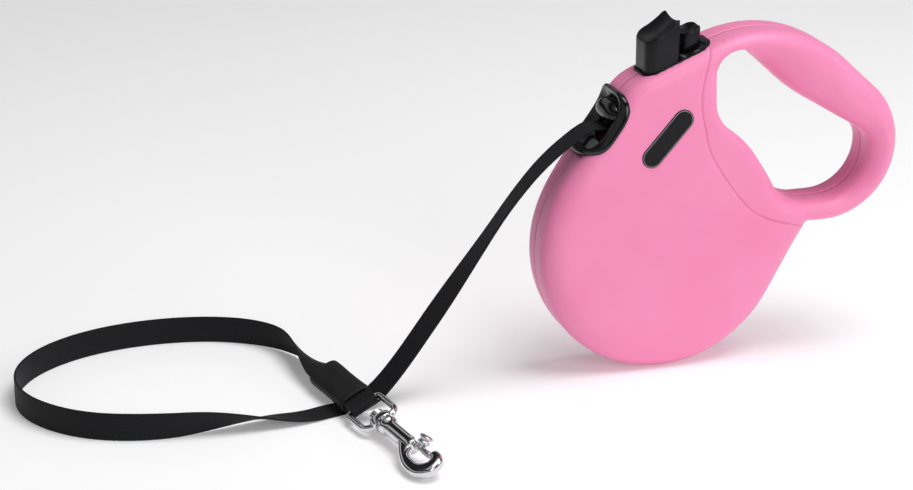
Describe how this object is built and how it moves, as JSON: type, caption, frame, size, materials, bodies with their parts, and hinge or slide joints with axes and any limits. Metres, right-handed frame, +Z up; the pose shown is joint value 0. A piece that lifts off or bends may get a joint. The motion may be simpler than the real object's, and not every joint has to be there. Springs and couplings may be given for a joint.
{
  "type": "retractable dog leash",
  "caption": "Hand-held housing with a looped grip, brake button and lock tab, and a flat belt on a sprung spool that ends in a swivelling bolt snap.",
  "frame": {"origin": "middle of the hand grip, where the fingers close, on the housing's parting plane", "axes": "+Z up; +X from the belt nozzle towards the hand grip, along the housing's length; +Y across the housing's thickness, away from the side with the badge"},
  "size_m": [0.4777, 0.2184, 0.1955],
  "materials": {
    "pink_shell": "pink plastic with a fine satin texture",
    "black_gloss": "polished black plastic",
    "black_button": "semi-gloss black plastic",
    "badge": "plain black badge without lettering, thin pale rim",
    "inner_plastic": "dark grey acetal",
    "screw_steel": "zinc-plated steel",
    "spring_steel": "blued spring steel",
    "belt": "woven black nylon belt",
    "sleeve_rubber": "black rubber",
    "snap_chrome": "nickel-chrome plated zinc"
  },
  "bodies": {
    "housing": {"body_shell_left": "pink_shell", "body_shell_right": "pink_shell", "handle_shell_left": "pink_shell", "handle_shell_right": "pink_shell", "badge": "badge", "belt_nozzle": "black_gloss", "button_plate": "black_gloss", "axle": "screw_steel", "case_screws": "screw_steel", "brake_spring": "spring_steel", "belt_lead": "belt", "belt_drop": "belt", "belt_flat": "belt", "belt_loop": "belt", "belt_sleeve": "sleeve_rubber", "belt_end": "belt"},
    "brake": {"brake_button": "black_button", "brake_bar": "inner_plastic"},
    "lock": {"lock_slider": "black_button"},
    "lock_bar": {"lock_bar": "inner_plastic"},
    "spool": {"spool": "inner_plastic", "spool_cover": "inner_plastic", "spool_screws": "screw_steel", "power_spring": "spring_steel", "belt_coil": "belt"},
    "eye": {"snap_eye": "snap_chrome"},
    "snap": {"snap_body": "snap_chrome", "snap_spring": "spring_steel"},
    "bolt": {"snap_bolt": "snap_chrome"}
  },
  "joints": [
    {"name": "spool_spin", "type": "hinge", "parent": "housing", "child": "spool", "pos_m": [-0.097, 0, -0.082], "axis": [0, 1, 0], "continuous": true},
    {"name": "brake_press", "type": "slide", "parent": "housing", "child": "brake", "axis": [0, 0, -1], "range_m": [0, 0.0045], "stiffness_N_per_m": 600, "springref_m": -0.003, "deforming": ["brake_spring"]},
    {"name": "lock_slide", "type": "slide", "parent": "housing", "child": "lock", "axis": [0.9265, 0, 0.3762], "range_m": [0, 0.004]},
    {"name": "lock_bar_drop", "type": "slide", "parent": "housing", "child": "lock_bar", "axis": [0, 0, -1], "range_m": [0, 0.004]},
    {"name": "eye_swing", "type": "hinge", "parent": "housing", "child": "eye", "pos_m": [-0.2715, -0.0344, -0.143], "axis": [0.8912, 0.165, 0.4225], "range_deg": [-75, 75]},
    {"name": "snap_swivel", "type": "hinge", "parent": "eye", "child": "snap", "pos_m": [-0.2673, -0.05599, -0.14342], "axis": [0.1908, -0.9814, -0.0192], "continuous": true},
    {"name": "bolt_slide", "type": "slide", "parent": "snap", "child": "bolt", "axis": [-0.1908, 0.9814, 0.0192], "range_m": [0, 0.0065], "stiffness_N_per_m": 250, "springref_m": -0.005, "deforming": ["snap_spring"]}
  ],
  "couplings": [
    {"joint": "lock_bar_drop", "follows": "lock_slide", "ratio": 1}
  ]
}
